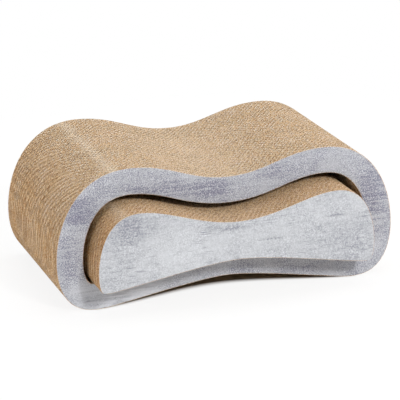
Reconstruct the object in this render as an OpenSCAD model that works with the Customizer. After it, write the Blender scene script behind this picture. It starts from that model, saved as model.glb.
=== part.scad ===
// Cardboard cat scratcher made of two nesting lounges. The outer lounge is
// bone-shaped, with two lobes, a saddle between them and an arch underneath, and
// a cavity of the same shape runs through it. The inner lounge lies in that
// cavity and slides out to the front. Each lounge is a stack of die-cut
// corrugated boards glued face to face, with a printed paper sheet on its front
// and its back. The boards' flutes stand upright, so their cut ends make the top.
// X runs from left to right, Y from front to back and Z up. The origin lies on
// the floor, under the middle of the part with the inner lounge as it is drawn.

/* [Outer lounge] */
// Width of the outer lounge
outer_w = 600; // [570:5:660]
// Depth of each lounge, from the front of one printed sheet to the back of the other
depth = 307.12; // [280:1:340]
// Height of the outer lounge at its two lobes
lobe_h = 239; // [225:1:260]
// Height of the outer lounge at its saddle
saddle_h = 206; // [196:1:220]
// Distance of each lobe's top from the side of the lounge
lobe_inset = 127; // [115:1:140]
// Height of the outer lounge's widest place
side_h = 86; // [75:1:100]
// Distance of each foot's middle from the side of the lounge
foot_inset = 70; // [62:1:80]
// Width of the flat on each foot that meets the floor
foot_land = 8; // [4:1:14]
// Height of the arch between the feet
arch_h = 31.5; // [20:0.5:40]
// Wall of the outer lounge, all round its cavity
wall = 46; // [40:1:50]

/* [Inner lounge] */
// Gap between the inner lounge and the cavity at each side
side_gap = 9.5; // [6:0.5:14]
// Gap over each lobe of the inner lounge
lobe_gap = 14; // [8:0.5:20]
// Gap over the saddle of the inner lounge
saddle_gap = 15; // [8:0.5:20]
// Height of the inner lounge's widest place
inner_side_h = 80; // [76:1:90]
// Running gap between the inner lounge and the cavity's floor
slide_gap = 0.3; // [0.2:0.05:1]
// How far the inner lounge is pulled out to the front
pull_out = 55; // [0:1:200]

/* [Boards and sheets] */
// Boards in each lounge, counted from front to back
boards = 56; // [8:2:56]
// Thickness of a printed sheet
sheet_t = 0.4; // [0.2:0.1:0.8]
// Bare board that shows around each printed sheet
reveal = 0.8; // [0.2:0.1:2]

/* [Smoothness] */
// Straight steps in each curve of an outline
steps = 16; // [8:2:24]

/* [Hidden] */
// Boards that are glued into one block, which is one node
block_boards = 2;
blocks = boards / block_boards;
block_t = (depth - 2 * sheet_t) / blocks;

// The front face of each lounge, with the whole part centred on the origin
inner_front_y = -(depth + pull_out) / 2;
outer_front_y = inner_front_y + pull_out;

// Distance of each lobe's top and of each foot's middle from the middle
lobe_x = outer_w / 2 - lobe_inset;
foot_x = outer_w / 2 - foot_inset;

inner_w = outer_w - 2 * (wall + side_gap);
inner_lobe_h = lobe_h - wall - lobe_gap;
inner_saddle_h = saddle_h - wall - saddle_gap;

// Reach of each curve's handles, as shares of the way that the curve goes, in
// the order saddle, lobe towards the middle, lobe towards the side, side
// upwards, side downwards, foot towards the side
outer_handle_shares = [0.397, 0.428, 0.69, 0.485, 0.50, 0.74];
inner_handle_shares = [0.405, 0.299, 0.86, 0.30, 0.69, 0.60];
// The same for the arch, at its foot and at its peak
arch_handle_shares = [0.11, 0.26];

function block_name(lounge, i) = str(lounge, "_boards_", i < 10 ? "0" : "", i);

// Cubic curve from a to d with its handles at b and c, without its last point
function curve(a, b, c, d) = [
    for (i = [0 : steps - 1])
        let (t = i / steps, s = 1 - t)
        s * s * s * a + 3 * s * s * t * b + 3 * s * t * t * c + t * t * t * d
];

// Right half of an outline, from its saddle over the lobe and the side, down to
// the point where its foot begins
function upper_half(half_w, lobe, saddle, side, foot, share) = concat(
    curve(
        [0, saddle],
        [share[0] * lobe_x, saddle],
        [(1 - share[1]) * lobe_x, lobe],
        [lobe_x, lobe]
    ),
    curve(
        [lobe_x, lobe],
        [lobe_x + share[2] * (half_w - lobe_x), lobe],
        [half_w, side + share[3] * (lobe - side)],
        [half_w, side]
    ),
    curve(
        [half_w, side],
        [half_w, side - share[4] * (side - foot[1])],
        [foot[0] + share[5] * (half_w - foot[0]), foot[1]],
        foot
    )
);

// The foot's flat and the arch up to the middle of the lounge
function outer_underside() =
    let (toe = foot_x + foot_land / 2, heel = foot_x - foot_land / 2)
    concat(
        [[toe, 0]],
        curve(
            [heel, 0],
            [(1 - arch_handle_shares[0]) * heel, 0],
            [arch_handle_shares[1] * heel, arch_h],
            [0, arch_h]
        ),
        [[0, arch_h]]
    );

// A half outline with its mirror image; its first and last points are on the axis
function both_halves(half) = concat(
    half,
    [for (i = [len(half) - 2 : -1 : 1]) [-half[i][0], half[i][1]]]
);

function unit(v) = v / norm(v);

// A clockwise outline moved inwards by d, with every edge parallel to its old self
function inset(outline, d) =
    let (n = len(outline))
    [
        for (i = [0 : n - 1])
            let (
                before = unit(outline[i] - outline[(i + n - 1) % n]),
                after = unit(outline[(i + 1) % n] - outline[i]),
                way = [before[1] + after[1], -before[0] - after[0]]
            )
            outline[i] + way * 2 * d / (way * way)
    ];

outer_half = concat(
    upper_half(
        outer_w / 2,
        lobe_h,
        saddle_h,
        side_h,
        [foot_x + foot_land / 2, 0],
        outer_handle_shares
    ),
    outer_underside()
);
outer_outline = both_halves(outer_half);
cavity_outline = inset(outer_outline, wall);

// The inner lounge's underside follows the cavity's floor at the running gap
inner_floor = inset(outer_outline, wall + slide_gap);
inner_underside = [for (i = [3 * steps : len(outer_half) - 1]) inner_floor[i]];
inner_outline = both_halves(
    concat(
        upper_half(
            inner_w / 2,
            inner_lobe_h,
            inner_saddle_h,
            inner_side_h,
            inner_underside[0],
            inner_handle_shares
        ),
        inner_underside
    )
);

// A flat shape in X and Z, t thick, with its front face at y
module upright(y, t) {
    translate([0, y + t, 0])
        rotate([90, 0, 0])
            linear_extrude(height = t)
                children();
}

// Face of the outer lounge with its cavity, bare by edge all round
module outer_face(edge) {
    difference() {
        polygon(inset(outer_outline, edge));
        polygon(inset(outer_outline, wall - edge));
    }
}

module outer_board() {
    difference() {
        polygon(outer_outline);
        polygon(cavity_outline);
    }
}

module outer_sheet(y) {
    color("lightslategray")
        upright(y, sheet_t)
            outer_face(reveal);
}

module inner_sheet(y) {
    color("silver")
        upright(y, sheet_t)
            polygon(inset(inner_outline, reveal));
}

module outer_boards(i) {
    color(i % 2 == 0 ? "tan" : "burlywood")
        upright(outer_front_y + sheet_t + (i - 1) * block_t, block_t)
            outer_board();
}

module inner_boards(i) {
    color(i % 2 == 0 ? "peru" : "sandybrown")
        upright(inner_front_y + sheet_t + (i - 1) * block_t, block_t)
            polygon(inner_outline);
}

module outer_front_sheet() {
    outer_sheet(outer_front_y);
}

module outer_back_sheet() {
    outer_sheet(outer_front_y + depth - sheet_t);
}

module inner_front_sheet() {
    inner_sheet(inner_front_y);
}

module inner_back_sheet() {
    inner_sheet(inner_front_y + depth - sheet_t);
}

outer_front_sheet();
for (i = [1 : blocks])
    outer_boards(i);
outer_back_sheet();
inner_front_sheet();
for (i = [1 : blocks])
    inner_boards(i);
inner_back_sheet();
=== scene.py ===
"""Cardboard cat scratcher: two nesting lounges of stacked corrugated board.

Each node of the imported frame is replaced, in its place, by a piece made of the real board's
layers or of printed paper.
"""

import math

import bpy
import numpy as np
from mathutils import Matrix, Vector


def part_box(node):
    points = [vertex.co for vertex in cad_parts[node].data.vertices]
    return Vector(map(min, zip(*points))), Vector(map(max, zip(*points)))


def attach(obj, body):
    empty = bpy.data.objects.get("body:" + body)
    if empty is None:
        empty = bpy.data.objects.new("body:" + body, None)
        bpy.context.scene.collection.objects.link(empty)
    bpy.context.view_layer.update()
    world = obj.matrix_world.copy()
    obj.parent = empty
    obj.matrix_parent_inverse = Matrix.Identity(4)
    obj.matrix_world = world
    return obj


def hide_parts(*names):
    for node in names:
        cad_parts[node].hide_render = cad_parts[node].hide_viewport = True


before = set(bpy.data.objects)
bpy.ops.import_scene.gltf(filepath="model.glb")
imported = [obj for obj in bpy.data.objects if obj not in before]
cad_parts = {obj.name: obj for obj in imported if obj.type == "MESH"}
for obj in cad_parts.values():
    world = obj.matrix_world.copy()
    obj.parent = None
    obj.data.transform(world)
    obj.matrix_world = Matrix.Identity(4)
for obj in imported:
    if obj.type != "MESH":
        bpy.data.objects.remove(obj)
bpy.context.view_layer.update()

bl_info = {
    "name": "Cardboard cat scratcher",
    "version": (1, 0, 0),
    "blender": (4, 5, 0),
    "location": "3D View > Sidebar > Cat Scratcher",
    "description": "Nesting cat lounges of die-cut corrugated board with printed faces",
    "category": "Add Mesh",
}

MM = 0.001
OUTER_LOW, OUTER_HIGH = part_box("outer_boards_01")
INNER_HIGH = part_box("inner_boards_01")[1]
SEED = 7

# Reach of each curve's handles as shares of the way that the curve goes: saddle, lobe towards the
# middle, lobe towards the side, side upwards, side downwards, foot towards the side
OUTER_HANDLE_SHARES = (0.397, 0.428, 0.69, 0.485, 0.50, 0.74)
INNER_HANDLE_SHARES = (0.405, 0.299, 0.86, 0.30, 0.69, 0.60)
# The same for the arch, at its foot and at its peak
ARCH_HANDLE_SHARES = (0.11, 0.26)

# Boards that are glued into one block, which is one node, and the thickness of each
BLOCK_BOARDS = 2
BOARD_THICKNESS = 5.47 * MM
# How much thicker a fluted sheet's cut looks where it is glued to its board's back liner, and to
# the front one
BACK_FRAY = 1.1 * MM
FRONT_FRAY = 0.3 * MM
# How far each board's wave stands from its neighbour's, in radians: the least and the most that a
# sheet's boards are shifted, and how much that varies from board to board; and the share of the
# boards that begin a new sheet
SHIFT = {"outer": (2.6, 3.0), "inner": (-2.45, -1.95)}
DRIFT = {"outer": 0.5, "inner": 0.15}
NEW_SHEET = 0.08

# Straight steps in each curve of an outline, and the distance between the stations along it: at
# the sides of the fluted sheets, along the liners, and along the printed sheets
FINE_STEPS = 48
SIDE_STEP = 6 * MM
WIDE_STEP = 8 * MM
SHEET_STEP = 4 * MM
# Faces that meet at less than this angle are shaded as one round surface
SHARP_ANGLE = math.radians(60)
# Part of each strip's height on the map that its faces take, so that neighbours stay apart, and
# the strips that a flat end takes
ROW_FILL = 0.9
END_ROWS = 4
# The name of a piece's map, if it has one
BAKE_MAP = "OFBake"

# Places in the lists of materials, of a block and of a sheet
CUT, FACE = 0, 1
RAW, PRINT = 0, 1
# Materials of a band's top, back, floor and front. The liner beside a printed sheet is pale there
EDGE_AND_FACES = (CUT, FACE, FACE, FACE)
PALE_FRONT = (CUT, FACE, FACE, CUT)
PALE_BACK = (CUT, CUT, FACE, FACE)
FACES = (FACE, FACE, FACE, FACE)
FRONT_PRINT = (RAW, RAW, RAW, PRINT)
BACK_PRINT = (RAW, PRINT, RAW, RAW)

# Noise values between which a pattern goes from none to all: clouds, roughness, the kraft papers'
# spots, and the printed concrete's trowel strokes, scratches and the patches that these lie in
CLOUD_SPAN = (0.35, 0.65)
ROUGH_SPAN = (0.3, 0.7)
SPOT_SPAN = (0.45, 0.57)
STROKE_SPAN = (0.38, 0.6)
SCRATCH_SPAN = (0.59, 0.68)
PATCH_SPAN = (0.49, 0.6)
# How far apart in their noise the spots of neighbouring boards lie
SPOTS_APART = 7.3
# How much of the kraft papers' tone is each board's own, comes from damp areas and from fibres,
# and the sums at which it is darkest and palest
KRAFT_BOARD = 0.35
KRAFT_DAMP = 0.9
KRAFT_FIBRE = 0.7
KRAFT_SPAN = (0.66, 1.26)
# Share of upright from which a cut edge turns brown, how brown an upright one is, and what the
# damp areas multiply that by
STEEP_FROM = 0.45
STEEP_BROWN = 0.5
STEEP_CLOUDS = (1.4, 0.5)
# Pale bands across the tops: place in X, how far it reaches to each side, and how strong it is.
# The first is a narrow pale line; the second is a painted highlight, a broad sheen over the saddle
PALE_AND_SHEEN_BANDS = ((-0.2, 15 * MM, 1.0), (-0.02, 150 * MM, 0.36))
# How far the bands wander to and fro
BAND_WANDER = 20 * MM

# How much the grains and the trowel clouds of the printed concrete show, and how strong a stain
# is between the trowel strokes and on them
PRINT_GRAIN = {"outer": 2.2, "inner": 1.2}
PRINT_CLOUD = {"outer": 0.45, "inner": 0.3}
STREAKS = {"outer": (0.15, 1.8), "inner": (0.6, 1.3)}
# How much mottles, trowel strokes and stains darken it, how much its grains show in the least and
# the most of the clouds, and how far under and over its middle tone it is all pale and all stain
PRINT_MOTTLE = 0.2
PRINT_STROKE = 0.15
PRINT_STAIN = 0.3
GRAIN_CLOUDS = (0.5, 1.3)
PALE_SPAN = 0.45
STAIN_SPAN = 0.38
# How dark a scratch is, as a share of a stain, and how high a grain stands, as a share of the
# washboard that the flutes make
SCRATCH_DARK = 0.9
GRAIN_RELIEF = 0.4
# Stains of the printed concrete: place and reach in X and Z, in metres, and how dark they are,
# or under 0 how pale. The outer lounge's pale one low on the left is painted light on a shadow
STAINS_AND_PAINTED_LIGHT = {
    "outer": (
        (-0.258, 0.17, 0.035, 0.035, 1.3),
        (-0.283, 0.1, 0.03, 0.04, 0.5),
        (-0.13, 0.196, 0.09, 0.022, 0.9),
        (-0.032, 0.185, 0.06, 0.026, 0.7),
        (0.075, 0.203, 0.07, 0.018, 0.5),
        (0.265, 0.14, 0.045, 0.08, 0.9),
        # Painted light: a pale patch over the inner lounge's shadow, low on the left
        (-0.19, 0.02, 0.12, 0.05, -0.9),
        (0.12, 0.028, 0.14, 0.014, 0.1),
    ),
    "inner": (
        (-0.19, 0.155, 0.07, 0.035, 0.9),
        (0.055, 0.108, 0.035, 0.0035, 0.9),
        (0.17, 0.135, 0.022, 0.003, 1.0),
        (-0.02, 0.135, 0.05, 0.012, 0.6),
        (0.2, 0.08, 0.1, 0.07, 0.35),
        (-0.1, 0.1, 0.1, 0.05, -0.4),
    ),
}

# Camera: bearing, height and roll in degrees, the point that it looks at, how far it stands off,
# and its lens and sensor in millimetres
CAMERA_ANGLES = (-19.8187, 18.3164, -0.1485)
CAMERA_AIM = (-0.05008, -0.12606, 0.17007)
CAMERA_DISTANCE = 3.38937
CAMERA_LENS = 183.766
CAMERA_SENSOR = 36.0
# Soft square lamps: name, place, side and power in watts, and the point that all are aimed at
LAMPS = (
    ("key_softbox", (0.55, -2.83, 1.9), 0.5, 62.0),
    ("left_front_softbox", (-2.62, -1.51, 1.64), 1.0, 21.0),
    ("right_front_softbox", (2.36, -1.98, 1.54), 1.0, 12.0),
    ("overhead_softbox", (0.2, 0.1, 2.7), 2.2, 38.0),
    ("left_softbox", (-3.0, 1.1, 1.2), 1.4, 34.0),
    ("right_softbox", (3.0, 0.6, 1.3), 1.4, 44.0),
    ("back_softbox", (0.3, 3.0, 1.6), 1.6, 26.0),
)
LAMP_AIM = (0, 0, 0.1)
WORLD_LIGHT = 0.08
# Half the floor's side, and its colours in the painted shadow under the lounges and beside it
FLOOR_REACH = 8.0
FLOOR_PAINTED_SHADOW = "CBBCA8"
FLOOR_PALE = "F8F7F5"
# Share of plain white that the camera sees in the floor beside the lounges, how far from their
# footprint it is reached, at the feet and under the arch, and from where to where it grows to all
FLOOR_WHITE = 0.86
FEET_RIM = 0.008
ARCH_RIM = 0.018
FLOOR_FADE = (0.25, 0.9)
# How far in from the footprint's edges under the arch the painted shadow starts, and where
# that ends, as a share of the way from the middle to a foot
ARCH_SHADOW_INSET = 0.055
ARCH_END = 1.15


def length(name, description, default):
    """A property that holds a length in metres."""
    return bpy.props.FloatProperty(
        name=name, description=description, default=default, unit="LENGTH", precision=5, min=0.0
    )


def hex_colour(name, description, default):
    """A property that holds a colour as sRGB hex."""
    return bpy.props.StringProperty(
        name=name, description=description, default=default, maxlen=6
    )


class LoungeOutline(bpy.types.PropertyGroup):
    """Sizes of the two lounges' outlines."""

    saddle_height: length(
        "Saddle height", "Height of the outer lounge at its saddle", 206 * MM)
    lobe_inset: length(
        "Lobe inset", "Distance of each lobe's top from the side of the outer lounge", 127 * MM)
    side_height: length(
        "Side height", "Height of the outer lounge's widest place", 86 * MM)
    foot_inset: length(
        "Foot inset", "Distance of each foot's middle from the side", 70 * MM)
    foot_land: length(
        "Foot land", "Width of the flat on each foot", 8 * MM)
    arch_height: length(
        "Arch height", "Height of the arch between the feet", 31.5 * MM)
    wall: length(
        "Wall", "Wall of the outer lounge round its cavity", 46 * MM)
    saddle_gap: length(
        "Saddle gap", "Gap over the saddle of the inner lounge", 15 * MM)
    inner_side_height: length(
        "Inner side height", "Height of the inner lounge's widest place", 80 * MM)
    slide_gap: length(
        "Slide gap", "Running gap under the inner lounge", 0.3 * MM)
    reveal: length(
        "Reveal", "Bare board that shows around each printed sheet", 0.8 * MM)


class BoardMake(bpy.types.PropertyGroup):
    """How the corrugated board is made and how its edges are cut."""

    flute_pitch: length(
        "Flute pitch", "Distance from one flute to the next", 8.85 * MM)
    liner: length(
        "Liner", "Thickness of one liner sheet with its frayed edge", 0.4 * MM)
    medium: length(
        "Medium", "Thickness of the fluted sheet with its frayed edge", 0.5 * MM)
    cut_depth: length(
        "Cut depth", "How deep each flute is open below the cut: half its pitch", 4.425 * MM)
    crush: length(
        "Crush", "How far the die presses the cut edges down, at most", 0.35 * MM)
    flute_steps: bpy.props.IntProperty(
        name="Flute steps", description="Straight steps in each flute's wave",
        default=6, min=4, max=16)


class PaperColours(bpy.types.PropertyGroup):
    """Colours of the papers, as sRGB hex values."""

    # The edge colours are partly a painted highlight on the tops of the flutes
    kraft_edge_and_highlight: hex_colour(
        "Kraft edge", "Cut edge of the kraft papers", "F8F1E5")
    kraft_edge_and_highlight_dark: hex_colour(
        "Kraft edge, dark", "Cut edge of the kraft papers where they are darkest", "E4D5BD")
    kraft_crushed: hex_colour(
        "Kraft, crushed", "Crushed spots of the kraft papers' cut edge", "A87A4E")
    kraft_side: hex_colour(
        "Kraft side", "Kraft papers that lie over where the cut runs along the flutes", "C39153")
    # The face colours are partly painted shade inside the flutes
    kraft_face_and_shade: hex_colour(
        "Kraft face", "Face of the kraft papers inside the flutes", "B08650")
    kraft_face_and_shade_dark: hex_colour(
        "Kraft face, dark", "Face of the kraft papers where they are darkest", "83602F")
    kraft_torn: hex_colour(
        "Kraft, torn", "Torn spots inside the flutes", "E2CBA5")
    # Colour of the pale bands; over the saddle it is a painted highlight
    kraft_pale_band: hex_colour(
        "Kraft, worn", "Kraft papers in the worn bands across the tops", "F3E9D8")
    outer_kraft: hex_colour(
        "Outer kraft", "Tint of the outer lounge's kraft papers", "FFFFFF")
    inner_kraft: hex_colour(
        "Inner kraft", "Tint of the inner lounge's kraft papers", "F3EADF")
    raw_paper: hex_colour(
        "Raw paper", "Bare edge and back of the printed sheets", "DCC9AC")
    raw_paper_dark: hex_colour(
        "Raw paper, dark", "Bare edge and back of the printed sheets where darkest", "C9B08C")
    outer_print: hex_colour(
        "Outer print", "Ground colour of the outer lounge's printed sheets", "ACAEB4")
    outer_pale: hex_colour(
        "Outer pale", "Palest grains of the outer lounge's printed sheets", "DEE0E6")
    outer_stain: hex_colour(
        "Outer stain", "Stains on the outer lounge's printed sheets", "757588")
    inner_print: hex_colour(
        "Inner print", "Ground colour of the inner lounge's printed sheets", "B6B8BC")
    inner_pale: hex_colour(
        "Inner pale", "Palest grains of the inner lounge's printed sheets", "E6E8EC")
    inner_stain: hex_colour(
        "Inner stain", "Stains on the inner lounge's printed sheets", "84858F")


def curve(a, b, c, d, steps):
    """Cubic curve s^3 a + 3 s^2 t b + 3 s t^2 c + t^3 d, with s = 1 - t, for t from 0 to just
    under 1."""
    t = np.arange(steps)[:, None] / steps
    s = 1 - t
    a, b, c, d = (np.asarray(p, float) for p in (a, b, c, d))
    return s**3 * a + 3 * s * s * t * b + 3 * s * t * t * c + t**3 * d


def upper_half(o, half_width, lobe, saddle, side, foot, share, steps):
    """Right half of an outline, as three cubic curves: saddle to lobe, lobe to side and side to
    foot."""
    x = OUTER_HIGH.x - o.lobe_inset
    reach = half_width - x
    return np.vstack([
        curve((0, saddle), (share[0] * x, saddle), ((1 - share[1]) * x, lobe), (x, lobe), steps),
        curve((x, lobe), (x + share[2] * reach, lobe),
              (half_width, side + share[3] * (lobe - side)), (half_width, side), steps),
        curve((half_width, side), (half_width, side - share[4] * (side - foot[1])),
              (foot[0] + share[5] * (half_width - foot[0]), foot[1]), foot, steps),
    ])


def outer_half(o, steps):
    """Right half of the outer outline: its upper half, the foot's flat, and a cubic curve up the
    arch."""
    foot = OUTER_HIGH.x - o.foot_inset
    toe, heel = foot + o.foot_land / 2, foot - o.foot_land / 2
    foot_share, peak_share = ARCH_HANDLE_SHARES
    upper = upper_half(o, OUTER_HIGH.x, OUTER_HIGH.z, o.saddle_height, o.side_height,
                       (toe, 0), OUTER_HANDLE_SHARES, steps)
    arch = curve((heel, 0), ((1 - foot_share) * heel, 0),
                 (peak_share * heel, o.arch_height), (0, o.arch_height), steps)
    return np.vstack([upper, [(toe, 0)], arch, [(0, o.arch_height)]])


def both_halves(half):
    """A half outline and its mirror image, clockwise, without the doubled points on the axis."""
    return np.vstack([half, half[-2:0:-1] * (-1, 1)])


def inward(outline):
    """For each point, the way to move it so that both edges beside it move inwards by one unit:
    the sum of the edges' normals, times 2 and divided by its own square."""
    before = outline - np.roll(outline, 1, 0)
    after = np.roll(before, -1, 0)
    before = before / np.linalg.norm(before, axis=1)[:, None]
    after = after / np.linalg.norm(after, axis=1)[:, None]
    way = np.stack([before[:, 1] + after[:, 1], -before[:, 0] - after[:, 0]], 1)
    return way * 2 / (way * way).sum(1)[:, None]


def inset(outline, depth):
    """A clockwise outline with every edge moved inwards by depth."""
    return outline + inward(outline) * depth


def outlines(steps):
    """The outer, cavity and inner outlines, each in X and Z."""
    o = bpy.context.scene.lounge_outline
    half = outer_half(o, steps)
    outer = both_halves(half)
    floor = inset(outer, o.wall + o.slide_gap)[3 * steps:len(half)]
    upper = upper_half(o, INNER_HIGH.x, INNER_HIGH.z, o.saddle_height - o.wall - o.saddle_gap,
                       o.inner_side_height, floor[0], INNER_HANDLE_SHARES, steps)
    return outer, inset(outer, o.wall), both_halves(np.vstack([upper, floor]))


def stations(outline, flute_steps, side_step):
    """Places spaced evenly along a closed outline by a measure that adds flute_steps for each
    flute it crosses in X and one for each side_step along it, with the inward way at each."""
    pitch = bpy.context.scene.board_make.flute_pitch
    closed = np.vstack([outline, outline[:1]])
    ways = inward(outline)
    ways = np.vstack([ways, ways[:1]])
    step = np.diff(closed, axis=0)
    measure = (np.abs(step[:, 0]) * flute_steps / pitch
               + np.hypot(step[:, 0], step[:, 1]) / side_step)
    run = np.concatenate([[0.0], np.cumsum(measure)])
    at = np.arange(int(run[-1])) * run[-1] / int(run[-1])

    def along(values):
        return np.stack([np.interp(at, run, values[:, k]) for k in (0, 1)], 1)

    return along(closed), along(ways)


def between(low, high):
    """Section of a flat band from low to high in Y."""
    return lambda x: ((low + high) / 2 + 0 * x, (high - low) / 2 + 0 * x)


def wave(middle, swing, pitch, phase, thickness):
    """Section of a fluted sheet: y = middle + swing sin(2 pi x / pitch + phase). Across the slope
    it is thicker in Y by the root of 1 + slope^2. Where it is glued to a liner the cut frays it
    away from the liner, by the cube of the sine."""
    def section(x):
        turn = 2 * math.pi * x / pitch + phase
        slope = swing * 2 * math.pi / pitch * np.cos(turn)
        frayed = (BACK_FRAY * np.maximum(np.sin(turn), 0) ** 3
                  + FRONT_FRAY * np.maximum(-np.sin(turn), 0) ** 3)
        half = thickness / 2 * np.sqrt(1 + slope**2) + frayed / 2
        return middle + swing * np.sin(turn) - np.sign(np.sin(turn)) * frayed / 2, half
    return section


def volume(points, corners):
    """Volume inside four-sided faces, as the sum of the cones from the origin to their
    triangles."""
    a, b, c, d = (points[corners[:, k]] for k in range(4))
    cones = np.einsum("ij,ij->", a, np.cross(b, c)) + np.einsum("ij,ij->", a, np.cross(c, d))
    return cones / 6


class Shell:
    """Collects closed bands and flat bodies and makes one mesh of them, with a map in rows of
    strips."""

    def __init__(self):
        self.points, self.steep = [], []
        self.corners, self.sides, self.uses, self.maps = [], [], [], []
        self.count = 0
        self.rows = 0

    def add_points(self, points, steep):
        """Takes in points, and how steep the cut is at each, from 0 where it is level to 1 where
        it is upright. Gives the number of the first."""
        first = self.count
        self.points.append(points)
        self.steep.append(np.broadcast_to(steep, len(points)))
        self.count += len(points)
        return first

    def add_faces(self, corners, use, places, rows):
        """Takes in the corner numbers of faces that all have the same number of sides, their
        materials, and their places on the map, which take up that many rows."""
        self.corners.append(corners.ravel())
        self.sides.append(np.full(len(corners), corners.shape[1]))
        self.uses.append(np.broadcast_to(use, len(corners)))
        self.maps.append((places + (0, self.rows)).reshape(-1, 2))
        self.rows += rows

    def band(self, path, into, section, start, end, uses):
        """A closed band along a closed path. At each station its four corners lie at path + start
        into and path + end into in X and Z, and at middle - half and middle + half in Y, which
        section gives for places in X. uses are the materials of its four sides: top, back, floor
        and front."""
        n = len(path)
        ring = np.empty((n, 4, 3))
        for k, depth in ((0, start), (2, end)):
            base = path + into * np.broadcast_to(depth, n)[:, None]
            middle, half = section(base[:, 0])
            ring[:, k:k + 2, 0] = base[:, :1]
            ring[:, k:k + 2, 2] = base[:, 1:]
            sign = 1 - k
            ring[:, k, 1] = middle - sign * half
            ring[:, k + 1, 1] = middle + sign * half
        i = np.arange(n)[:, None]
        k = np.arange(4)[None]
        j, m = (i + 1) % n, (k + 1) % 4
        quads = np.stack([i * 4 + k, i * 4 + m, j * 4 + m, j * 4 + k], -1).reshape(-1, 4)
        here, there, low = i / n + 0 * k, (i + 1) / n + 0 * k, k + 0 * i
        high = low + ROW_FILL
        places = np.stack([np.stack([here, low], -1), np.stack([here, high], -1),
                           np.stack([there, high], -1), np.stack([there, low], -1)], -2)
        places = places.reshape(-1, 4, 2)
        points = ring.reshape(-1, 3)
        if volume(points, quads) < 0:
            quads, places = quads[:, ::-1], places[:, ::-1]
        steep = np.repeat(np.abs(into[:, 0]) / np.hypot(into[:, 0], into[:, 1]), 4)
        first = self.add_points(points, steep)
        self.add_faces(quads + first, np.tile(uses, n), places, 4)

    def flat_body(self, path, y_low, y_high, edge_use, end_uses):
        """A closed body: the clockwise path at y_low and again at y_high, with a flat face in each
        and an edge between them. edge_use is the material of its edge, and end_uses are those of
        its front and its back."""
        n = len(path)
        front = np.stack([path[:, 0], np.full(n, y_low), path[:, 1]], 1)
        back = front + (0, y_high - y_low, 0)
        i = np.arange(n)
        j = (i + 1) % n
        first = self.add_points(np.vstack([front, back]), 0.0)
        quads = np.stack([j, j + n, i + n, i], 1)
        along = np.stack([(i + 1) / n, (i + 1) / n, i / n, i / n], 1)
        across = np.broadcast_to((0, ROW_FILL, ROW_FILL, 0), (n, 4))
        self.add_faces(quads + first, edge_use, np.stack([along, across], -1), 1)
        low = path.min(0)
        flat = (path - low) / (path.max(0) - low) * (1, END_ROWS * ROW_FILL)
        for k, way in enumerate((slice(None, None, -1), slice(None))):
            end = (i + k * n)[way][None]
            self.add_faces(end + first, end_uses[k], flat[way][None], END_ROWS)

    def mesh(self, name, materials, mapped=True):
        """The finished object. Its map, if it gets one, is scaled to fill its square."""
        points = np.vstack(self.points)
        corners = np.concatenate(self.corners)
        sides = np.concatenate(self.sides)
        maps = np.vstack(self.maps) / (1, self.rows)
        me = bpy.data.meshes.new(name)
        me.vertices.add(len(points))
        me.vertices.foreach_set("co", points.ravel())
        me.loops.add(len(corners))
        me.loops.foreach_set("vertex_index", corners)
        me.polygons.add(len(sides))
        me.polygons.foreach_set("loop_start", np.cumsum(sides) - sides)
        me.polygons.foreach_set("loop_total", sides)
        me.polygons.foreach_set("material_index", np.concatenate(self.uses))
        me.update(calc_edges=True)
        steep = me.attributes.new("steep", "FLOAT", "POINT")
        steep.data.foreach_set("value", np.concatenate(self.steep))
        if mapped:
            me.uv_layers.new(name=BAKE_MAP).data.foreach_set("uv", maps.ravel())
        for m in materials:
            me.materials.append(m)
        me.validate()
        me.set_sharp_from_angle(angle=SHARP_ANGLE)
        ob = bpy.data.objects.new(name, me)
        bpy.context.scene.collection.objects.link(ob)
        return ob


def numbered(lounge):
    """Names of a lounge's blocks of boards, from front to back."""
    return sorted(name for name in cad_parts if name.startswith(lounge + "_boards_"))


def board_phases(lounge, blocks, rng):
    """Where each board's wave stands, in radians, in rows of one block. The boards of one sheet
    are cut a fixed way further along its flutes each time, so their waves stand in rows or lean
    as in a twill: a sum of the sheet's own shift and small random steps, with a jump where a new
    sheet begins."""
    boards = blocks * BLOCK_BOARDS
    fresh = rng.random(boards) < NEW_SHEET
    shift = rng.uniform(*SHIFT[lounge], boards + 1)[np.cumsum(fresh)]
    drift = rng.normal(0, DRIFT[lounge], boards)
    jump = fresh * rng.uniform(0, 2 * math.pi, boards)
    return np.cumsum(shift + drift + jump).reshape(blocks, BLOCK_BOARDS)


def fluted_block(name, node, lounge, cuts, fill, phases, rng):
    """One block of glued boards of a lounge, in place of its node. On each cut surface the liners
    are bands that follow the cut, and each board's fluted sheet is a band between its liners,
    along y = middle + swing sin(2 pi x / pitch + phase). cuts holds, for each surface, its close
    and its wide stations. fill adds the solid middle."""
    b = bpy.context.scene.board_make
    low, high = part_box(node)
    board = (high.y - low.y) / BLOCK_BOARDS
    swing = (board - 2 * b.liner - b.medium) / 2
    shell = Shell()
    fill(shell, low.y, high.y)
    nodes = numbered(lounge)
    front_uses = PALE_FRONT if node == nodes[0] else EDGE_AND_FACES
    back_uses = PALE_BACK if node == nodes[-1] else EDGE_AND_FACES
    liners = [(low.y, low.y + b.liner, front_uses), (high.y - b.liner, high.y, back_uses)]
    liners += [(low.y + k * board - b.liner, low.y + k * board + b.liner, EDGE_AND_FACES)
               for k in range(1, BLOCK_BOARDS)]
    for (close, close_in), (wide, wide_in) in cuts:
        for start, end, uses in liners:
            pressed = rng.uniform(0, b.crush / 2)
            shell.band(wide, wide_in, between(start, end), pressed, b.cut_depth, uses)
        for k, phase in enumerate(phases):
            section = wave(low.y + (k + 0.5) * board, swing, b.flute_pitch, phase, b.medium)
            pressed = b.crush * rng.random(len(close)) ** 2
            shell.band(close, close_in, section, pressed, b.cut_depth, EDGE_AND_FACES)
    return shell.mesh(name, kraft_papers(lounge))


def finish_piece(piece, body, slot, *nodes):
    """Parents a piece to the empty of the body that it moves with, and hides the nodes that it
    stands for. slot is not used."""
    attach(piece, body)
    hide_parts(*nodes)


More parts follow.
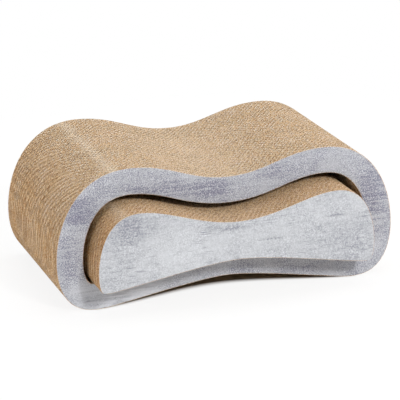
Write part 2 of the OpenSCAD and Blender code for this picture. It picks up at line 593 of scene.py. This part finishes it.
class SCRATCHER_OT_outer_boards(bpy.types.Operator):
    """Builds the outer lounge's blocks of boards, with open flutes on its outline and cavity"""

    bl_idname = "scratcher.outer_boards"
    bl_label = "Outer Boards"

    def execute(self, context):
        b, o = context.scene.board_make, context.scene.lounge_outline
        outer, cavity, _ = outlines(FINE_STEPS)
        cuts = []
        for outline, way in ((outer, 1), (cavity, -1)):
            pairs = [stations(outline, b.flute_steps, SIDE_STEP), stations(outline, 0, WIDE_STEP)]
            cuts.append([(path, into * way) for path, into in pairs])
        path, into = cuts[0][1]

        def ring(shell, low, high):
            """The uncut middle of the ring, between the open flutes of its two outlines."""
            shell.band(path, into, between(low, high), b.cut_depth, o.wall - b.cut_depth, FACES)

        rng = np.random.default_rng((SEED, 1))
        nodes = numbered("outer")
        for node, phases in zip(nodes, board_phases("outer", len(nodes), rng)):
            name = "outer_fluted_" + node[-2:]
            piece = fluted_block(name, node, "outer", cuts, ring, phases, rng)
            finish_piece(piece, "outer_lounge", "outer_board", node)
        return {"FINISHED"}


class SCRATCHER_OT_inner_boards(bpy.types.Operator):
    """Builds the inner lounge's blocks of boards, with open flutes all along its outline"""

    bl_idname = "scratcher.inner_boards"
    bl_label = "Inner Boards"

    def execute(self, context):
        b = context.scene.board_make
        _, _, inner = outlines(FINE_STEPS)
        wide = stations(inner, 0, WIDE_STEP)
        cuts = [(stations(inner, b.flute_steps, SIDE_STEP), wide)]
        core = wide[0] + wide[1] * b.cut_depth

        def bone(shell, low, high):
            """The uncut middle of the bone shape, below the open flutes."""
            shell.flat_body(core, low, high, FACE, (FACE, FACE))

        rng = np.random.default_rng((SEED, 2))
        nodes = numbered("inner")
        for node, phases in zip(nodes, board_phases("inner", len(nodes), rng)):
            name = "inner_fluted_" + node[-2:]
            piece = fluted_block(name, node, "inner", cuts, bone, phases, rng)
            finish_piece(piece, "inner_lounge", "inner_board", node)
        return {"FINISHED"}


class SCRATCHER_OT_outer_sheets(bpy.types.Operator):
    """Builds the outer lounge's printed front and back sheets"""

    bl_idname = "scratcher.outer_sheets"
    bl_label = "Outer Sheets"

    def execute(self, context):
        o = context.scene.lounge_outline
        papers = printed_papers("outer")
        path, into = stations(outlines(FINE_STEPS)[0], 0, SHEET_STEP)
        for node, uses in (("outer_front_sheet", FRONT_PRINT), ("outer_back_sheet", BACK_PRINT)):
            low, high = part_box(node)
            shell = Shell()
            shell.band(path, into, between(low.y, high.y), o.reveal, o.wall - o.reveal, uses)
            piece = shell.mesh(node.replace("sheet", "print"), papers, mapped=False)
            finish_piece(piece, "outer_lounge", "outer_sheet", node)
        return {"FINISHED"}


class SCRATCHER_OT_inner_sheets(bpy.types.Operator):
    """Builds the inner lounge's printed front and back sheets"""

    bl_idname = "scratcher.inner_sheets"
    bl_label = "Inner Sheets"

    def execute(self, context):
        o = context.scene.lounge_outline
        papers = printed_papers("inner")
        path, into = stations(outlines(FINE_STEPS)[2], 0, SHEET_STEP)
        ends = {"inner_front_sheet": (PRINT, RAW), "inner_back_sheet": (RAW, PRINT)}
        for node, uses in ends.items():
            low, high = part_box(node)
            shell = Shell()
            shell.flat_body(path + into * o.reveal, low.y, high.y, RAW, uses)
            piece = shell.mesh(node.replace("sheet", "print"), papers, mapped=False)
            finish_piece(piece, "inner_lounge", "inner_sheet", node)
        return {"FINISHED"}


class SCRATCHER_OT_stage(bpy.types.Operator):
    """Sets up the pale floor, the soft studio lamps, the world and the camera"""

    bl_idname = "scratcher.stage"
    bl_label = "Stage"

    def execute(self, context):
        scene = context.scene
        scene.view_settings.view_transform = "Standard"
        me = bpy.data.meshes.new("floor")
        signs = ((-1, -1), (1, -1), (1, 1), (-1, 1))
        me.from_pydata([(x * FLOOR_REACH, y * FLOOR_REACH, 0) for x, y in signs], [],
                       [(0, 1, 2, 3)])
        me.materials.append(studio_floor())
        floor = bpy.data.objects.new("floor", me)
        scene.collection.objects.link(floor)
        for name, place, side, power in LAMPS:
            data = bpy.data.lights.new(name, "AREA")
            data.shape, data.size, data.energy = "SQUARE", side, power
            lamp = bpy.data.objects.new(name, data)
            way = Vector(place) - Vector(LAMP_AIM)
            turn = way.to_track_quat("Z", "Y").to_matrix().to_4x4()
            lamp.matrix_world = Matrix.Translation(place) @ turn
            scene.collection.objects.link(lamp)
        white_world(scene)
        scene.camera = photo_camera(scene)
        return {"FINISHED"}


def photo_camera(scene):
    """The camera where the photograph's was: it looks at a point of the front face from a bearing
    and a height in degrees, rolled by a small angle."""
    bearing, height, roll = (math.radians(a) for a in CAMERA_ANGLES)
    back = Vector((math.sin(bearing) * math.cos(height),
                   -math.cos(bearing) * math.cos(height), math.sin(height)))
    level = Vector((0, 0, 1)).cross(back).normalized()
    upright = back.cross(level)
    right = level * math.cos(roll) + upright * math.sin(roll)
    up = upright * math.cos(roll) - level * math.sin(roll)
    data = bpy.data.cameras.new("camera")
    data.sensor_width, data.lens = CAMERA_SENSOR, CAMERA_LENS
    camera = bpy.data.objects.new("camera", data)
    turn = Matrix((right, up, back)).transposed().to_4x4()
    place = Vector(CAMERA_AIM) + back * CAMERA_DISTANCE
    camera.matrix_world = Matrix.Translation(place) @ turn
    scene.collection.objects.link(camera)
    return camera


def linear(colour):
    """A colour written as sRGB hex, as the linear values that Blender's sockets take."""
    parts = [int(colour[i:i + 2], 16) / 255 for i in (0, 2, 4)]
    parts = [c / 12.92 if c <= 0.04045 else ((c + 0.055) / 1.055) ** 2.4 for c in parts]
    return [*parts, 1.0]


def node(tree, kind, inputs=(), **settings):
    """Adds a node, sets its own settings, and gives its inputs, by name or number, a value or a
    link. In Map Range, 1 and 2 are the range that a value comes from and 3 and 4 the one that it
    goes to, 0 to 1 if left out. In Mix, 6 and 7 are the colours at a share of 0 and of 1."""
    made = tree.nodes.new("ShaderNode" + kind)
    for key, value in settings.items():
        setattr(made, key, value)
    for key, value in dict(inputs).items():
        if isinstance(value, bpy.types.NodeSocket):
            tree.links.new(value, made.inputs[key])
        else:
            made.inputs[key].default_value = value
    return made


def new_material(name):
    """A material, and its node tree, emptied."""
    material = bpy.data.materials.new(name)
    material.use_nodes = True
    material.node_tree.nodes.clear()
    return material, material.node_tree


def kraft_papers(lounge):
    """The two kraft papers of a lounge's boards: the cut edges and the faces inside the flutes."""
    c = bpy.context.scene.paper_colours
    tint = getattr(c, lounge + "_kraft")
    looks = {
        # The die opens the fibres of the cut edge: it is paler, rougher and fuzzier than the face.
        # It is paler still as a painted highlight on the tops of the flutes
        lounge + "_kraft_cut": dict(
            pale=c.kraft_edge_and_highlight, dark=c.kraft_edge_and_highlight_dark, spotted=c.kraft_crushed,
            band_share=0.5, roughness=(0.8, 0.98), sheen=0.15),
        # The rolls that made the paper pressed its face: it is browner, smoother and has no fuzz.
        # It is darker still as painted shade inside the flutes
        lounge + "_kraft_face_and_shade": dict(
            pale=c.kraft_face_and_shade, dark=c.kraft_face_and_shade_dark, spotted=c.kraft_torn,
            band_share=0.15, roughness=(0.65, 0.85), sheen=0.0),
    }
    return [bpy.data.materials.get(name) or kraft(name, tint=tint, **look)
            for name, look in looks.items()]


def kraft(name, pale, dark, spotted, band_share, roughness, sheen, tint="FFFFFF"):
    """Unbleached kraft paper, matt and fibrous. Each board's tone differs a little, and so do its
    crushed or torn spots, in the colour spotted. Damp areas and fibres mottle it from dark to
    pale, steep cuts are brown, and pale bands across the tops, one of them a painted highlight
    over the saddle, are mixed in by the share band_share. tint multiplies all of it. roughness
    is its least and its most."""
    colours = bpy.context.scene.paper_colours
    material, tree = new_material(name)
    place = node(tree, "TexCoord").outputs["Object"]
    way = node(tree, "SeparateXYZ", {0: place}).outputs
    board = node(tree, "Math", {0: way[1], 1: BOARD_THICKNESS}, operation="DIVIDE").outputs[0]
    board = node(tree, "Math", {0: board}, operation="FLOOR").outputs[0]
    tone = node(tree, "TexWhiteNoise", {"W": board}, noise_dimensions="1D").outputs[0]
    # Damp and pressed areas some 60 mm wide; fibres are 1 to 3 mm long
    damp = node(tree, "TexNoise", {"Vector": place, "Scale": 1 / (60 * MM),
                                   "Detail": 3.0}).outputs[0]
    fibre = node(tree, "TexNoise", {"Vector": place, "Scale": 1 / (1.6 * MM), "Detail": 3.0,
                                    "Roughness": 0.6}).outputs[0]
    share = 0.0
    for layer, weight in ((tone, KRAFT_BOARD), (damp, KRAFT_DAMP), (fibre, KRAFT_FIBRE)):
        share = node(tree, "Math", {0: layer, 1: weight, 2: share},
                     operation="MULTIPLY_ADD").outputs[0]
    share = node(tree, "MapRange", {0: share, 1: KRAFT_SPAN[0], 2: KRAFT_SPAN[1]}).outputs[0]
    colour = node(tree, "Mix", {0: share, 6: linear(dark), 7: linear(pale)},
                  data_type="RGBA").outputs[2]
    # Where the cut runs along the flutes, the papers lie over and show their browner faces
    steep = node(tree, "Attribute", attribute_name="steep").outputs["Fac"]
    steep = node(tree, "MapRange", {0: steep, 1: STEEP_FROM, 2: 1.0,
                                    3: 0.0, 4: STEEP_BROWN}).outputs[0]
    uneven = node(tree, "MapRange", {0: damp, 1: CLOUD_SPAN[0], 2: CLOUD_SPAN[1],
                                     3: STEEP_CLOUDS[0], 4: STEEP_CLOUDS[1]}).outputs[0]
    steep = node(tree, "Math", {0: steep, 1: uneven}, operation="MULTIPLY").outputs[0]
    colour = node(tree, "Mix", {0: steep, 6: colour, 7: linear(colours.kraft_side)},
                  data_type="RGBA").outputs[2]
    # Spots some 2.1 mm wide, which have nothing to do with those of the board beside them
    spot = node(tree, "CombineXYZ", {0: way[0], 1: board, 2: way[2]}).outputs[0]
    spot = node(tree, "VectorMath", {0: spot, 1: (1 / (2.1 * MM), SPOTS_APART, 1 / (2.1 * MM))},
                operation="MULTIPLY").outputs[0]
    spot = node(tree, "TexNoise", {"Vector": spot, "Scale": 1.0, "Detail": 1.0}).outputs[0]
    spot = node(tree, "MapRange", {0: spot, 1: SPOT_SPAN[0], 2: SPOT_SPAN[1]}).outputs[0]
    colour = node(tree, "Mix", {0: spot, 6: colour, 7: linear(spotted)},
                  data_type="RGBA").outputs[2]
    # The pale bands wander over some 18 mm, which breaks the narrow one into patches
    wander = node(tree, "TexNoise", {"Vector": place, "Scale": 1 / (18 * MM),
                                     "Detail": 3.0}).outputs[0]
    off = node(tree, "Math", {0: wander, 1: BAND_WANDER, 2: way[0]},
               operation="MULTIPLY_ADD").outputs[0]
    # The second band is a painted highlight, a sheen over the saddle
    for x, reach, strength in PALE_AND_SHEEN_BANDS:
        paled = node(tree, "Math", {0: off, 1: x + BAND_WANDER / 2},
                    operation="SUBTRACT").outputs[0]
        paled = node(tree, "Math", {0: paled}, operation="ABSOLUTE").outputs[0]
        paled = node(tree, "MapRange", {0: paled, 1: 0.0, 2: reach, 3: band_share * strength, 4: 0.0},
                    interpolation_type="SMOOTHSTEP").outputs[0]
        colour = node(tree, "Mix", {0: paled, 6: colour, 7: linear(colours.kraft_pale_band)},
                      data_type="RGBA").outputs[2]
    colour = node(tree, "Mix", {0: 1.0, 6: colour, 7: linear(tint)},
                  data_type="RGBA", blend_type="MULTIPLY").outputs[2]
    bump = node(tree, "Bump", {"Strength": 0.35, "Distance": 0.1 * MM,
                               "Height": fibre}).outputs[0]
    rough = node(tree, "MapRange", {0: fibre, 1: ROUGH_SPAN[0], 2: ROUGH_SPAN[1],
                                    3: roughness[0], 4: roughness[1]}).outputs[0]
    shader = node(tree, "BsdfPrincipled", {
        "Base Color": colour, "Roughness": rough, "IOR": 1.45, "Specular IOR Level": 0.25,
        "Sheen Weight": sheen, "Sheen Roughness": 0.6, "Normal": bump})
    node(tree, "OutputMaterial", {0: shader.outputs[0]})
    return material


def printed_papers(lounge):
    """The papers of a lounge's sheets: its raw edge and back, and its printed face."""
    c = bpy.context.scene.paper_colours
    # Uncoated paper without print: pale, matt and a little fuzzy
    raw = bpy.data.materials.get("raw_paper") or kraft(
        "raw_paper", pale=c.raw_paper, dark=c.raw_paper_dark, spotted=c.raw_paper_dark,
        band_share=0.0, roughness=(0.8, 0.9), sheen=0.2)
    tones = [getattr(c, lounge + part) for part in ("_pale", "_print", "_stain")]
    name = lounge + "_concrete_print"
    return [raw, bpy.data.materials.get(name) or concrete_print(name, lounge, *tones)]


def concrete_print(name, lounge, pale, ground, stain):
    """Printed paper with a picture of trowelled concrete: clouds, darker stains, pores and fine
    scratches, and on the outer lounge a pale patch of painted light. The ink is matt and a little
    smoother than the raw paper, and the flutes behind it show as a faint washboard."""
    material, tree = new_material(name)
    place = node(tree, "TexCoord").outputs["Object"]
    # Grains of sand, drawn 1.7 mm wide so that they show; mottles of 12 mm; trowel clouds of 45 mm
    grain = node(tree, "TexNoise", {"Vector": place, "Scale": 1 / (1.7 * MM), "Detail": 3.0,
                                    "Roughness": 0.6}).outputs[0]
    mottle = node(tree, "TexNoise", {"Vector": place, "Scale": 1 / (12 * MM), "Detail": 4.0,
                                     "Roughness": 0.65}).outputs[0]
    cloud = node(tree, "TexNoise", {"Vector": place, "Scale": 1 / (45 * MM), "Detail": 5.0,
                                    "Roughness": 0.6}).outputs[0]
    # Trowel strokes some 80 mm long and 5 mm wide
    stroke = node(tree, "Mapping", {"Vector": place,
                                    "Scale": (1 / (80 * MM), 1, 1 / (5 * MM))}).outputs[0]
    stroke = node(tree, "TexNoise", {"Vector": stroke, "Scale": 1.0, "Detail": 3.0,
                                     "Roughness": 0.6}).outputs[0]
    stains_and_light = 0.0
    # Stains, and on the outer lounge a pale patch of painted light, each a soft round spot
    for x, z, reach, rise, dark in STAINS_AND_PAINTED_LIGHT[lounge]:
        spot = node(tree, "Mapping", {"Vector": place, "Location": (-x / reach, 0, -z / rise),
                                      "Scale": (1 / reach, 0, 1 / rise)}).outputs[0]
        spot = node(tree, "TexGradient", {"Vector": spot},
                    gradient_type="SPHERICAL").outputs["Fac"]
        stains_and_light = node(tree, "Math", {0: spot, 1: dark, 2: stains_and_light},
                       operation="MULTIPLY_ADD").outputs[0]
    broken = node(tree, "MapRange", {0: stroke, 1: STROKE_SPAN[0], 2: STROKE_SPAN[1],
                                     3: STREAKS[lounge][0], 4: STREAKS[lounge][1]}).outputs[0]
    stains_and_light = node(tree, "Math", {0: stains_and_light, 1: broken}, operation="MULTIPLY").outputs[0]
    # The grains come and go with the clouds, and show more in the stains
    show = node(tree, "MapRange", {0: cloud, 1: CLOUD_SPAN[0], 2: CLOUD_SPAN[1],
                                   3: GRAIN_CLOUDS[0], 4: GRAIN_CLOUDS[1]}).outputs[0]
    show = node(tree, "Math", {0: show, 1: stains_and_light}, operation="ADD").outputs[0]
    tone = node(tree, "Math", {0: grain, 1: PRINT_GRAIN[lounge], 2: -0.5 * PRINT_GRAIN[lounge]},
                operation="MULTIPLY_ADD").outputs[0]
    tone = node(tree, "Math", {0: tone, 1: show}, operation="MULTIPLY").outputs[0]
    for layer, weight in ((mottle, PRINT_MOTTLE), (cloud, PRINT_CLOUD[lounge]),
                          (stroke, PRINT_STROKE), (stains_and_light, PRINT_STAIN)):
        tone = node(tree, "Math", {0: layer, 1: weight, 2: tone},
                    operation="MULTIPLY_ADD").outputs[0]
    middle = 0.5 * (PRINT_MOTTLE + PRINT_CLOUD[lounge] + PRINT_STROKE)
    share = node(tree, "MapRange", {0: tone, 1: middle - PALE_SPAN, 2: middle}).outputs[0]
    colour = node(tree, "Mix", {0: share, 6: linear(pale), 7: linear(ground)},
                  data_type="RGBA").outputs[2]
    share = node(tree, "MapRange", {0: tone, 1: middle, 2: middle + STAIN_SPAN}).outputs[0]
    colour = node(tree, "Mix", {0: share, 6: colour, 7: linear(stain)},
                  data_type="RGBA").outputs[2]
    # Scratches some 25 mm long and 1.2 mm wide, in patches some 40 mm wide
    line = node(tree, "Mapping", {"Vector": place, "Rotation": (0, 0.1, 0),
                                  "Scale": (1 / (25 * MM), 1, 1 / (1.2 * MM))}).outputs[0]
    line = node(tree, "TexNoise", {"Vector": line, "Scale": 1.0, "Detail": 2.0}).outputs[0]
    line = node(tree, "MapRange", {0: line, 1: SCRATCH_SPAN[0], 2: SCRATCH_SPAN[1],
                                   3: 0.0, 4: SCRATCH_DARK}).outputs[0]
    patch = node(tree, "TexNoise", {"Vector": place, "Scale": 1 / (40 * MM),
                                    "Detail": 1.0}).outputs[0]
    patch = node(tree, "MapRange", {0: patch, 1: PATCH_SPAN[0], 2: PATCH_SPAN[1]}).outputs[0]
    line = node(tree, "Math", {0: line, 1: patch}, operation="MULTIPLY").outputs[0]
    colour = node(tree, "Mix", {0: line, 6: colour, 7: linear(stain)},
                  data_type="RGBA").outputs[2]
    # The washboard of the flutes, with the grains on it
    pitch = bpy.context.scene.board_make.flute_pitch
    x = node(tree, "SeparateXYZ", {0: place}).outputs[0]
    turn = node(tree, "Math", {0: x, 1: 2 * math.pi / pitch}, operation="MULTIPLY").outputs[0]
    board = node(tree, "Math", {0: turn}, operation="SINE").outputs[0]
    height = node(tree, "Math", {0: grain, 1: GRAIN_RELIEF, 2: board},
                  operation="MULTIPLY_ADD").outputs[0]
    bump = node(tree, "Bump", {"Strength": 1.0, "Distance": 0.03 * MM,
                               "Height": height}).outputs[0]
    rough = node(tree, "MapRange", {0: cloud, 1: ROUGH_SPAN[0], 2: ROUGH_SPAN[1],
                                    3: 0.5, 4: 0.66}).outputs[0]
    shader = node(tree, "BsdfPrincipled", {
        "Base Color": colour, "Roughness": rough, "IOR": 1.45, "Specular IOR Level": 0.35,
        "Normal": bump})
    node(tree, "OutputMaterial", {0: shader.outputs[0]})
    return material


def studio_floor():
    """Matt white studio board with a painted shadow: its colour darkens under the outer lounge.
    The camera and reflections see a share of plain white in it, which keeps the background white
    and the shadow soft, and falls to none over the painted shadow."""
    material, tree = new_material("studio_floor")
    # Distance from the rectangle under the outer lounge, between the middles of its feet
    low, high = Vector(OUTER_LOW), Vector(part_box(numbered("outer")[-1])[1])
    middle, half = (low + high) / 2, (high - low) / 2
    half.x -= bpy.context.scene.lounge_outline.foot_inset
    middle.z = half.z = 0
    away = node(tree, "TexCoord").outputs["Object"]
    away = node(tree, "VectorMath", {0: away, 1: middle}, operation="SUBTRACT").outputs[0]
    away = node(tree, "VectorMath", {0: away}, operation="ABSOLUTE").outputs[0]
    # The painted shadow starts further in, and its rim is softer, where the arch is higher
    x = node(tree, "SeparateXYZ", {0: away}).outputs[0]
    rim = node(tree, "MapRange", {0: x, 1: 0.0, 2: ARCH_END * half.x, 3: ARCH_RIM, 4: FEET_RIM},
               interpolation_type="SMOOTHSTEP").outputs[0]
    shadow_inset = node(tree, "MapRange", {0: x, 1: 0.0, 2: ARCH_END * half.x, 3: ARCH_SHADOW_INSET, 4: 0.0},
               interpolation_type="SMOOTHSTEP").outputs[0]
    shadow_inset = node(tree, "CombineXYZ", {1: shadow_inset}).outputs[0]
    away = node(tree, "VectorMath", {0: away, 1: shadow_inset}, operation="ADD").outputs[0]
    away = node(tree, "VectorMath", {0: away, 1: half}, operation="SUBTRACT").outputs[0]
    away = node(tree, "VectorMath", {0: away, 1: (0, 0, 0)}, operation="MAXIMUM").outputs[0]
    away = node(tree, "VectorMath", {0: away}, operation="LENGTH").outputs["Value"]
    # Painted shadow: the board's colour goes from shaded over the footprint to pale beside it
    painted_shadow = node(tree, "MapRange", {0: away, 1: 0.0, 2: rim}).outputs[0]
    painted_shadow = node(tree, "Mix", {0: painted_shadow, 6: linear(FLOOR_PAINTED_SHADOW), 7: linear(FLOOR_PALE)},
                data_type="RGBA").outputs[2]
    board = node(tree, "BsdfDiffuse", {"Color": painted_shadow})
    white = node(tree, "Emission", {"Color": (1, 1, 1, 1), "Strength": 1.0})
    near = node(tree, "MapRange", {0: away, 1: 0.0, 2: rim, 3: 0.0, 4: FLOOR_WHITE}).outputs[0]
    far = node(tree, "MapRange", {0: away, 1: FLOOR_FADE[0], 2: FLOOR_FADE[1]}).outputs[0]
    share = node(tree, "Math", {0: near, 1: far}, operation="MAXIMUM").outputs[0]
    share = node(tree, "Math", {0: white_rays(tree), 1: share}, operation="MULTIPLY").outputs[0]
    shader = node(tree, "MixShader", {0: share, 1: board.outputs[0], 2: white.outputs[0]})
    node(tree, "OutputMaterial", {0: shader.outputs[0]})
    return material


def white_rays(tree):
    """1 for the camera's rays and those that reflections and glass send, otherwise 0."""
    path = node(tree, "LightPath").outputs
    seen = path["Is Camera Ray"]
    for kind in ("Is Glossy Ray", "Is Transmission Ray"):
        seen = node(tree, "Math", {0: seen, 1: path[kind]}, operation="MAXIMUM").outputs[0]
    return seen


def white_world(scene):
    """Even white light from all round; the camera and reflections see plain white."""
    world = bpy.data.worlds.new("white_room")
    world.use_nodes = True
    tree = world.node_tree
    tree.nodes.clear()
    strength = node(tree, "MapRange", {0: white_rays(tree), 1: 0.0, 2: 1.0,
                                       3: WORLD_LIGHT, 4: 1.0}).outputs[0]
    light = node(tree, "Background", {"Color": (1, 1, 1, 1), "Strength": strength})
    node(tree, "OutputWorld", {0: light.outputs[0]})
    scene.world = world


STEPS = (
    SCRATCHER_OT_stage,
    SCRATCHER_OT_outer_boards,
    SCRATCHER_OT_inner_boards,
    SCRATCHER_OT_outer_sheets,
    SCRATCHER_OT_inner_sheets,
)
GROUPS = {
    "lounge_outline": LoungeOutline,
    "board_make": BoardMake,
    "paper_colours": PaperColours,
}


class SCRATCHER_PT_panel(bpy.types.Panel):
    """Lists the sizes and colours, and the steps that build the cat scratcher"""

    bl_idname = "SCRATCHER_PT_panel"
    bl_label = "Cat Scratcher"
    bl_space_type = "VIEW_3D"
    bl_region_type = "UI"
    bl_category = "Cat Scratcher"

    def draw(self, context):
        for group in GROUPS:
            values = getattr(context.scene, group)
            column = self.layout.column(align=True)
            for key in values.__annotations__:
                column.prop(values, key)
        for step in STEPS:
            self.layout.operator(step.bl_idname)


CLASSES = (*GROUPS.values(), *STEPS, SCRATCHER_PT_panel)


def register():
    """Registers the classes and gives each scene its sizes and colours."""
    for item in CLASSES:
        bpy.utils.register_class(item)
    for name, group in GROUPS.items():
        setattr(bpy.types.Scene, name, bpy.props.PointerProperty(type=group))


def unregister():
    """Takes back what register did."""
    for name in GROUPS:
        delattr(bpy.types.Scene, name)
    for item in reversed(CLASSES):
        bpy.utils.unregister_class(item)


def main():
    """Registers the classes and runs the steps in order."""
    register()
    for step in STEPS:
        family, name = step.bl_idname.split(".")
        getattr(getattr(bpy.ops, family), name)()


if __name__ == "__main__":
    main()
